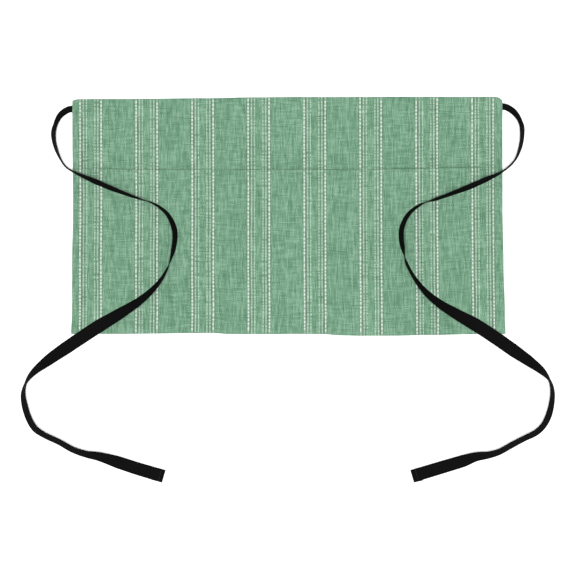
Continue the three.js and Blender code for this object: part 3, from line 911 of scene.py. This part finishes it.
def tape_section(station, side):
    """Axes of the tape's cross-section at a station, and its points as offsets from the middle."""
    openness = smoothstep(station["run"], 0, LEAVES_OPEN)
    seen = station["seen"] * openness
    lift = math.sqrt(1 - seen * seen)
    heading = station["heading"]
    inward = Vector((side * heading.y, -side * heading.x, 0))
    width_axis = inward * seen + UP * lift
    normal = UP * seen - inward * lift
    offsets = [width_axis * wide + normal * off for wide, off in tape_profile(openness)]
    return width_axis, normal, offsets


def support_below(station, offsets):
    """Highest cloth or floor under a section."""
    heights = []
    for offset in offsets[:: TAPE_SEGMENTS // 4]:
        heights.append(topmost_cloth(station["point"].x + offset.x, station["point"].y + offset.y))
    return max(heights)


def soften(runs, values, reach):
    """Mean of the values within reach of each run."""
    softened = []
    for here in runs:
        near = [value for run, value in zip(runs, values) if abs(run - here) <= reach]
        softened.append(sum(near) / len(near))
    return softened


def lay_tape(side, rows):
    """Centre, axes and section of the tape at every station, resting on what is below it."""
    stations = route_stations(side, rows)
    sections = [tape_section(station, side) for station in stations]
    runs = [station["run"] for station in stations]
    below = [support_below(station, section[2]) for station, section in zip(stations, sections)]
    raised = []
    for here in runs:
        raised.append(max(value for run, value in zip(runs, below) if abs(run - here) <= SUPPORT_REACH))
    rests = soften(runs, raised, SUPPORT_SOFTENING)
    hem_start = runs[-1] - TIE_END_HEM
    laid = []
    for station, (width_axis, normal, offsets), low, support in zip(stations, sections, below, rests):
        run = station["run"]
        under = TAPE_SHOWN_LAYER / 2 * abs(normal.z)
        doubled = TAPE_LAYER * abs(normal.z) * smoothstep(run, hem_start - END_HEM_RISE, hem_start)
        resting = max(support, low) if run > TIE_OPENS else 0.0
        lying = resting + LAY_GAP + under + doubled - min(offset.z for offset in offsets)
        level = lerp(SLOT_MIDDLE, lying, smoothstep(run, 0, TIE_OPENS))
        point = station["point"] + UP * max(lying, level)
        laid.append({**station, "point": point, "normal": normal, "width": width_axis, "offsets": offsets})
    return laid


def tape_rows(side, laid):
    """Rows of points for the whole tape: the sewn end, the route, and the end turned back under itself."""
    first = laid[0]
    sewn = Vector((-side, 0, 0))
    rows = []
    for share in SEWN_SHARES:
        start = first["point"] + sewn * TIE_SEWN * share
        rows.append((-TIE_SEWN * share, [start + offset for offset in first["offsets"]]))
    for station in laid:
        rows.append((station["run"], [station["point"] + offset for offset in station["offsets"]]))
    last = laid[-1]
    length = last["run"]
    radius = TAPE_LAYER / 2
    down = -last["normal"] if last["normal"].z > 0 else last["normal"]
    for angle in TURN_ANGLES:
        swing = math.radians(angle)
        shift = last["heading"] * math.sin(swing) * radius + down * (1 - math.cos(swing)) * radius
        rows.append((length + radius * swing, [last["point"] + offset + shift for offset in last["offsets"]]))
    turned = [station for station in reversed(laid) if station["run"] >= length - TIE_END_HEM]
    slip = bpy.context.scene.apron_ties.end_slip if side == RIGHT else LEFT_END_SLIP
    for station in turned[1:]:
        back = length - station["run"]
        shift = down * TAPE_LAYER - station["width"] * slip * back / TIE_END_HEM
        turned_row = [station["point"] + offset + shift for offset in station["offsets"]]
        rows.append((length + math.pi * radius + back, turned_row))
    return rows


def make_tape(side, rows, name):
    """The tape as one strip that is given its thickness afterwards."""
    laid = lay_tape(side, rows)
    strips = tape_rows(side, laid)
    bm = bmesh.new()
    bmesh.ops.create_grid(bm, x_segments=len(strips) - 1, y_segments=TAPE_SEGMENTS, size=0.5)
    weave = bm.loops.layers.uv.new("tape")
    places = {}
    for vert in bm.verts:
        row = round((vert.co.x + 0.5) * (len(strips) - 1))
        column = round((vert.co.y + 0.5) * TAPE_SEGMENTS)
        run, points = strips[row]
        vert.co = points[column]
        places[vert] = (run, (column / TAPE_SEGMENTS - 0.5) * TAPE_WIDTH)
    for face in bm.faces:
        for loop in face.loops:
            loop[weave].uv = places[loop.vert]
    bmesh.ops.recalc_face_normals(bm, faces=bm.faces)
    piece = finish_mesh(bm, name, shared_material("black_twill_tape", tape_material))
    add_thickness(piece, TAPE_SHOWN_LAYER)
    bevel = piece.modifiers.new("Soft edges", "BEVEL")
    bevel.width = 0.2 * MM
    bevel.segments = 1
    bevel.limit_method = "ANGLE"
    bevel.angle_limit = math.radians(60)
    return piece, laid


def make_end_stitches(laid, name):
    """The row of stitches that holds the tape's turned end."""
    length = laid[-1]["run"]
    station = min(laid, key=lambda item: abs(item["run"] - (length - END_STITCH_INSET)))
    normal = station["normal"] if station["normal"].z > 0 else -station["normal"]
    across = station["width"]
    bm = bmesh.new()
    pitch = END_STITCH_SPAN * TAPE_WIDTH / END_STITCHES
    for number in range(END_STITCHES):
        aside = across * (number - (END_STITCHES - 1) / 2) * pitch
        point = station["point"] + aside + normal * TAPE_SHOWN_LAYER * 0.52
        rotation = Matrix((across.cross(normal), across, normal)).transposed().to_4x4()
        matrix = Matrix.Translation(point) @ rotation
        add_grain(bm, matrix, END_THREAD, pitch * 0.86, END_THREAD, segments=10, rings=8)
    return finish_mesh(bm, name, tape_thread())


# Cloth pieces


def make_panel():
    cloth = bpy.context.scene.apron_cloth
    side_start = SIDE_RADIUS + cloth.thickness / 2
    top_start = APRON_HEIGHT - HEM_RADIUS - cloth.thickness / 2
    cuts_across = cuts_from_sides(SIDE_HEM, SIDE_HEM + HEM_STEP, LUMP_LENGTH, LUMP_LENGTH + LUMP_FLANK)
    lump = [TIE_DROP + sign * (LUMP_HALF_WIDTH + flank) for sign in (-1, 1) for flank in (0, LUMP_FLANK)]
    cuts_up = [APRON_HEIGHT - line for line in (TOP_HEM, TOP_HEM + HEM_STEP, *lump)]
    bm = flat_cloth(side_start, APRON_WIDTH - side_start, FOLD_INNER, top_start, cuts_across, cuts_up)
    turn_sides(bm, side_start)
    turn_edge(bm, Vector((0, 1, 0)), top_start, HEM_RADIUS, TOP_HEM - (APRON_HEIGHT - top_start))
    side_depth = 2 * SIDE_RADIUS
    full = 2 * HEM_RADIUS

    def place(u, v, w):
        across, up = clamp(u / APRON_WIDTH), clamp(v / APRON_HEIGHT)
        face = panel_face(across, up)
        depth = -w
        side = turned_layer(side_distance(across), SIDE_HEM)
        in_top_hem = smoothstep(v, APRON_HEIGHT - TOP_HEM - HEM_STEP, APRON_HEIGHT - TOP_HEM)
        plain = lerp(face, FLOOR_REST, clamp(depth / side_depth))
        hem = nested_level(nest_depth(depth, full), full, face, FLOOR_REST, side)
        level = hem if depth > side_depth + HAIR else lerp(plain, hem, in_top_hem)
        return across, up, level

    lay_out(bm, place)
    piece = finish_mesh(bm, "apron_cloth", cloth_material())
    add_thickness(piece, cloth.thickness)
    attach(piece, BODY)
    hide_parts("apron_panel")


def make_pockets():
    cloth = bpy.context.scene.apron_cloth
    side_start = SIDE_RADIUS + cloth.thickness / 2
    bottom_start = BOTTOM_RADIUS + cloth.thickness / 2
    top_start = POCKET_DEPTH - HEM_RADIUS - cloth.thickness / 2
    seams = [APRON_WIDTH * number / POCKET_COUNT for number in range(1, POCKET_COUNT)]
    cuts_across = cuts_from_sides(SIDE_HEM, SIDE_HEM + HEM_STEP)
    cuts_across += [seam + land for seam in seams for land in (-SEAM_LAND, 0, SEAM_LAND)]
    cuts_up = [POCKET_DEPTH - MOUTH_HEM, POCKET_DEPTH - MOUTH_HEM - HEM_STEP]
    bm = flat_cloth(side_start, APRON_WIDTH - side_start, bottom_start, top_start, cuts_across, cuts_up)
    turn_sides(bm, side_start)
    turn_edge(bm, Vector((0, 1, 0)), top_start, HEM_RADIUS, MOUTH_HEM - (POCKET_DEPTH - top_start))
    turn_edge(bm, Vector((0, -1, 0)), -bottom_start, BOTTOM_RADIUS, BOTTOM_RUN_BACK)
    run_up = bm.verts.layers.float["cloth_up"]
    for vert in bm.verts:
        vert[run_up] = -vert[run_up]

    def place(u, v, w):
        across = clamp(u / APRON_WIDTH)
        up = clamp(v / POCKET_DEPTH) * mouth_at(across)
        face = pocket_face(across, up)
        depth = -w
        side = turned_layer(side_distance(across), SIDE_HEM)
        full = 2 * HEM_RADIUS if v > POCKET_DEPTH / 2 else 2 * BOTTOM_RADIUS
        back = face - NESTED_STEP * lerp(1, 3, side) if v > POCKET_DEPTH / 2 else FLOOR_REST
        return across, up, nested_level(nest_depth(depth, full), full, face, back, side)

    lay_out(bm, place)
    piece = finish_mesh(bm, "pocket_cloth", cloth_material())
    add_thickness(piece, cloth.thickness)
    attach(piece, BODY)
    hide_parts("pocket_panel")


def stripe_runs():
    for pair in range(PAIR_COUNT):
        for side in (-1, 1):
            yield FIRST_PAIR + pair * PAIR_PITCH + side * HALF_PAIR


def make_floats(name, low_at, high_at, height_at, seed):
    """The white yarn's floats along every stripe, from the low to the high share up the cloth."""
    cloth = bpy.context.scene.apron_cloth
    chance = random.Random(seed)
    rows = []
    for run in stripe_runs():
        row = bmesh.new()
        first = across_of_stripe(run, 0.5)
        place = low_at(first) * APRON_HEIGHT + chance.uniform(0, cloth.float_pitch)
        end = high_at(first) * APRON_HEIGHT
        while place < end:
            length = cloth.float_pitch * chance.uniform(*FLOAT_LENGTHS)
            is_long = chance.random() < cloth.long_floats
            length *= chance.uniform(*LONG_FLOAT_LENGTHS) if is_long else 1
            width = cloth.float_width * chance.uniform(*FLOAT_WIDTHS) * (LONG_FLOAT_WIDTH if is_long else 1)
            up = (place + length / 2) / APRON_HEIGHT
            if place + length < end:
                across = across_of_stripe(run + chance.uniform(-FLOAT_SLIP, FLOAT_SLIP) * MM, up)
                matrix = surface_matrix(across, up, height_at, chance.uniform(-FLOAT_TURN, FLOAT_TURN))
                lift = Matrix.Translation(UP * cloth.thickness / 2)
                add_grain(row, matrix @ lift, width, length, cloth.float_width * FLOAT_THICKNESS)
            place += length + cloth.float_pitch * chance.uniform(*FLOAT_GAPS)
        rows.append(row)
    piece = join_rows(rows, name, white_yarn())
    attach(piece, BODY)


def sew_line(rows, start, end, height_at, turn):
    """Adds one straight line of stitches between two (across, up) shares."""
    cloth = bpy.context.scene.apron_cloth
    first, last = Vector(place_on_cloth(*start)), Vector(place_on_cloth(*end))
    count = max(1, round((last - first).length / cloth.stitch_pitch))
    row = bmesh.new()
    lift = Matrix.Translation(UP * cloth.thickness / 2)
    for number in range(count):
        share = (number + 0.5) / count
        across, up = lerp(start[0], end[0], share), lerp(start[1], end[1], share)
        matrix = surface_matrix(across, up, height_at, turn)
        length = cloth.stitch_pitch * 0.84
        add_grain(row, matrix @ lift, THREAD_WIDTH, length, THREAD_HEIGHT, segments=6, rings=6)
    rows.append(row)


def sew_mouth(rows, distance):
    """Adds the line of stitches that follows the pocket mouth."""
    edge = SEAM_TO_EDGE / APRON_WIDTH
    for number in range(MOUTH_SEAM_PARTS):
        ends = []
        for share in (number / MOUTH_SEAM_PARTS, (number + 1) / MOUTH_SEAM_PARTS):
            across = lerp(edge, 1 - edge, share)
            ends.append((across, mouth_at(across) - distance / APRON_HEIGHT))
        sew_line(rows, ends[0], ends[1], pocket_face, math.pi / 2)


def make_stitches():
    """Lines of stitches along the hems, the mouth and the pocket seams, one piece for each layer of cloth."""
    seam = (SIDE_HEM - SEAM_TO_EDGE) / APRON_WIDTH
    mouth = POCKET_DEPTH / APRON_HEIGHT
    panel_top = 1 - SEAM_TO_EDGE / APRON_HEIGHT
    panel_rows = []
    for across in (seam, 1 - seam):
        sew_line(panel_rows, (across, mouth + SEAM_END), (across, panel_top), panel_face, 0)
    top = 1 - (TOP_HEM - SEAM_TO_EDGE) / APRON_HEIGHT
    edge = SEAM_TO_EDGE / APRON_WIDTH
    sew_line(panel_rows, (edge, top), (1 - edge, top), panel_face, math.pi / 2)
    pocket_rows = []
    low = 2 * FOLD_INNER / APRON_HEIGHT
    for across in (seam, 1 / 3, 2 / 3, 1 - seam):
        sew_line(pocket_rows, (across, low), (across, mouth_at(across) - SEAM_END), pocket_face, 0)
    sew_mouth(pocket_rows, MOUTH_HEM - SEAM_TO_EDGE)
    for rows, name in ((panel_rows, "panel_stitches"), (pocket_rows, "pocket_stitches")):
        piece = join_rows(rows, name, sewing_thread())
        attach(piece, BODY)


# Settings


def colour_property(name, description, default):
    limits = {"subtype": "COLOR", "min": 0, "max": 1}
    return bpy.props.FloatVectorProperty(name=name, description=description, default=default, **limits)


def length_property(name, description, default, low, high):
    limits = {"min": low, "max": high, "unit": "LENGTH", "precision": 5}
    return bpy.props.FloatProperty(name=name, description=description, default=default, **limits)


def angle_property(name, description, default):
    return bpy.props.FloatProperty(name=name, description=description, default=default, subtype="ANGLE")


def number_property(name, description, default, **limits):
    return bpy.props.FloatProperty(name=name, description=description, default=default, min=0, **limits)


class ApronClothSettings(bpy.types.PropertyGroup):
    """Sizes and colours of the cloth, its stripes and its stitches"""

    thickness: length_property("Thickness", "Thickness of one layer of cloth", 0.58 * MM, 0.2 * MM, 1.2 * MM)
    ripple_height: length_property("Ripple", "Unevenness of the cloth as it lies", 0.18 * MM, 0, 0.3 * MM)
    float_pitch: length_property(
        "Float pitch", "Mean distance between the white floats", 5.2 * MM, 2 * MM, 12 * MM
    )
    float_width: length_property("Float width", "Width of the white floats", 2.35 * MM, 0.5 * MM, 4 * MM)
    stitch_pitch: length_property(
        "Stitch pitch", "Length of one stitch and its gap", 2.9 * MM, 1 * MM, 6 * MM
    )
    long_floats: number_property("Long floats", "Share of the white floats that are long", 0.12, max=1)
    ground_colour: colour_property("Ground", "Colour of most threads", (0.105, 0.2155, 0.136))
    light_colour: colour_property("Light threads", "Colour of the lighter slubs", (0.172, 0.297, 0.206))
    dark_colour: colour_property("Dark threads", "Colour of the darker slubs", (0.066, 0.152, 0.09))
    gap_colour: colour_property("Stripe gaps", "Colour of the dark dotted gaps", (0.078, 0.11, 0.08))
    pale_colour: colour_property("Pale lines", "Colour of the pale lines in a pair", (0.44, 0.54, 0.45))
    under_white_colour: colour_property(
        "Under white", "Colour of the band below the floats", (0.235, 0.32, 0.25)
    )
    white_colour: colour_property("White yarn", "Colour of the white floats", (0.52, 0.56, 0.515))
    white_shadow_colour: colour_property("White yarn, low", "Colour between the plies", (0.35, 0.41, 0.36))


class ApronTieSettings(bpy.types.PropertyGroup):
    """Sizes and colours of the two ties"""

    end_slip: length_property(
        "End slip", "How far the right tie's turned end sits askew", 1.1 * MM, 0, 3 * MM
    )
    tape_colour: colour_property("Tape", "Colour of the tape's ribs", (0.0054, 0.0051, 0.0054))
    shadow_colour: colour_property(
        "Tape, low", "Colour between the ribs and at the rims", (0.0015, 0.0015, 0.0015)
    )
    thread_colour: colour_property(
        "Tape stitches", "Colour of the stitches at the ends", (0.008, 0.0077, 0.008)
    )


class ApronStageSettings(bpy.types.PropertyGroup):
    """Camera, light and floor round the apron"""

    camera_height: length_property("Camera height", "Height of the camera above the floor", 11.0, 1.0, 20.0)
    view_width: length_property("View width", "Width of floor that the picture takes in", 0.7453, 0.1, 5.0)
    view_left: length_property("View middle, across", "Middle of the picture across", -0.0004, -1.0, 1.0)
    view_up: length_property("View middle, up", "Middle of the picture up", -0.0928, -1.0, 1.0)
    key_strength: number_property("Key light", "Strength of the soft key", 4.2)
    fill_strength: number_property("Fill light", "Strength of the room", 0.5)
    key_elevation: angle_property("Key elevation", "Height of the key light", math.radians(87.5))
    key_softness: angle_property("Key softness", "Width of the key light", math.radians(18))
    floor_colour: colour_property("Floor", "Colour of the floor", (0.84, 0.84, 0.84))


# Operators


class APRON_OT_camera(bpy.types.Operator):
    """Set the camera straight above the apron, as the photograph was taken"""

    bl_idname = "apron.camera"
    bl_label = "Camera"

    def execute(self, context):
        stage = context.scene.apron_stage
        data = bpy.data.cameras.new("camera")
        data.sensor_width = SENSOR_WIDTH
        data.lens = stage.camera_height * SENSOR_WIDTH / stage.view_width
        data.clip_end = CLIP_END
        camera = add_object("camera", data)
        camera.location = (stage.view_left, stage.view_up, stage.camera_height)
        context.scene.camera = camera
        return {"FINISHED"}


class APRON_OT_ties(bpy.types.Operator):
    """Make the two tape ties with their turned and stitched ends"""

    bl_idname = "apron.ties"
    bl_label = "Ties"

    def execute(self, context):
        for side, rows, node in ((LEFT, LEFT_TIE_ROUTE, "left_tie"), (RIGHT, RIGHT_TIE_ROUTE, "right_tie")):
            piece, laid = make_tape(side, rows, node + "_tape")
            stitches = make_end_stitches(laid, node + "_stitches")
            for part in (piece, stitches):
                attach(part, BODY)
            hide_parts(node)
        return {"FINISHED"}


class APRON_OT_panel(bpy.types.Operator):
    """Make the back cloth with its side hems and top hem turned to the back"""

    bl_idname = "apron.panel"
    bl_label = "Panel"

    def execute(self, context):
        make_panel()
        return {"FINISHED"}


class APRON_OT_pockets(bpy.types.Operator):
    """Make the pocket cloth, folded up from the bottom edge and sewn into three pockets"""

    bl_idname = "apron.pockets"
    bl_label = "Pockets"

    def execute(self, context):
        make_pockets()
        return {"FINISHED"}


class APRON_OT_stripes(bpy.types.Operator):
    """Make the raised floats of white yarn along the stripes"""

    bl_idname = "apron.stripes"
    bl_label = "Stripe floats"

    def execute(self, context):
        hidden = FLOATS_BELOW_MOUTH / APRON_HEIGHT
        hem = FLOATS_TO_EDGE / APRON_HEIGHT
        panel_ends = (lambda across: mouth_at(across) - hidden, lambda across: 1 - hem)
        pocket_ends = (lambda across: hem, lambda across: mouth_at(across) - hem / 2)
        make_floats("panel_stripe_floats", *panel_ends, panel_face, PANEL_SEED)
        make_floats("pocket_stripe_floats", *pocket_ends, pocket_face, POCKET_SEED)
        return {"FINISHED"}


class APRON_OT_stitches(bpy.types.Operator):
    """Make the stitches of the hems, the pocket mouth and the pocket seams"""

    bl_idname = "apron.stitches"
    bl_label = "Stitches"

    def execute(self, context):
        make_stitches()
        return {"FINISHED"}


class APRON_OT_stage(bpy.types.Operator):
    """Make the plain floor, the soft key light and the pale room"""

    bl_idname = "apron.stage"
    bl_label = "Stage"

    def execute(self, context):
        stage = context.scene.apron_stage
        bm = bmesh.new()
        bmesh.ops.create_grid(bm, x_segments=2, y_segments=2, size=FLOOR_HALF)
        floor = finish_mesh(bm, "floor", floor_material(), smooth=False)
        key = bpy.data.lights.new("key", "SUN")
        key.energy = stage.key_strength
        key.angle = stage.key_softness
        lamp = add_object("key", key)
        lamp.location = (0, -1, 2)
        lamp.rotation_euler = (math.pi / 2 - stage.key_elevation, 0, 0)
        world = bpy.data.worlds.new("room")
        world.use_nodes = True
        background = world.node_tree.nodes["Background"]
        background.inputs["Color"].default_value = (1, 1, 1, 1)
        background.inputs["Strength"].default_value = stage.fill_strength
        context.scene.world = world
        context.scene.view_settings.view_transform = "Standard"
        return {"FINISHED"}


class APRON_PT_panel(bpy.types.Panel):
    """Lists the steps that build the apron"""

    bl_label = "Apron"
    bl_idname = "APRON_PT_panel"
    bl_space_type = "VIEW_3D"
    bl_region_type = "UI"
    bl_category = "Apron"

    def draw(self, context):
        for step in STEPS:
            self.layout.operator(step.bl_idname)


STEPS = (
    APRON_OT_camera,
    APRON_OT_ties,
    APRON_OT_stripes,
    APRON_OT_stitches,
    APRON_OT_panel,
    APRON_OT_pockets,
    APRON_OT_stage,
)
SETTINGS = {
    "apron_cloth": ApronClothSettings,
    "apron_ties": ApronTieSettings,
    "apron_stage": ApronStageSettings,
}


def register():
    for kind in (*SETTINGS.values(), *STEPS, APRON_PT_panel):
        bpy.utils.register_class(kind)
    for name, kind in SETTINGS.items():
        setattr(bpy.types.Scene, name, bpy.props.PointerProperty(type=kind))


def unregister():
    for name in SETTINGS:
        delattr(bpy.types.Scene, name)
    for kind in reversed((*SETTINGS.values(), *STEPS, APRON_PT_panel)):
        bpy.utils.unregister_class(kind)


def main():
    register()
    bpy.ops.apron.camera()
    bpy.ops.apron.ties()
    bpy.ops.apron.stripes()
    bpy.ops.apron.stitches()
    bpy.ops.apron.panel()
    bpy.ops.apron.pockets()
    bpy.ops.apron.stage()


if __name__ == "__main__":
    main()
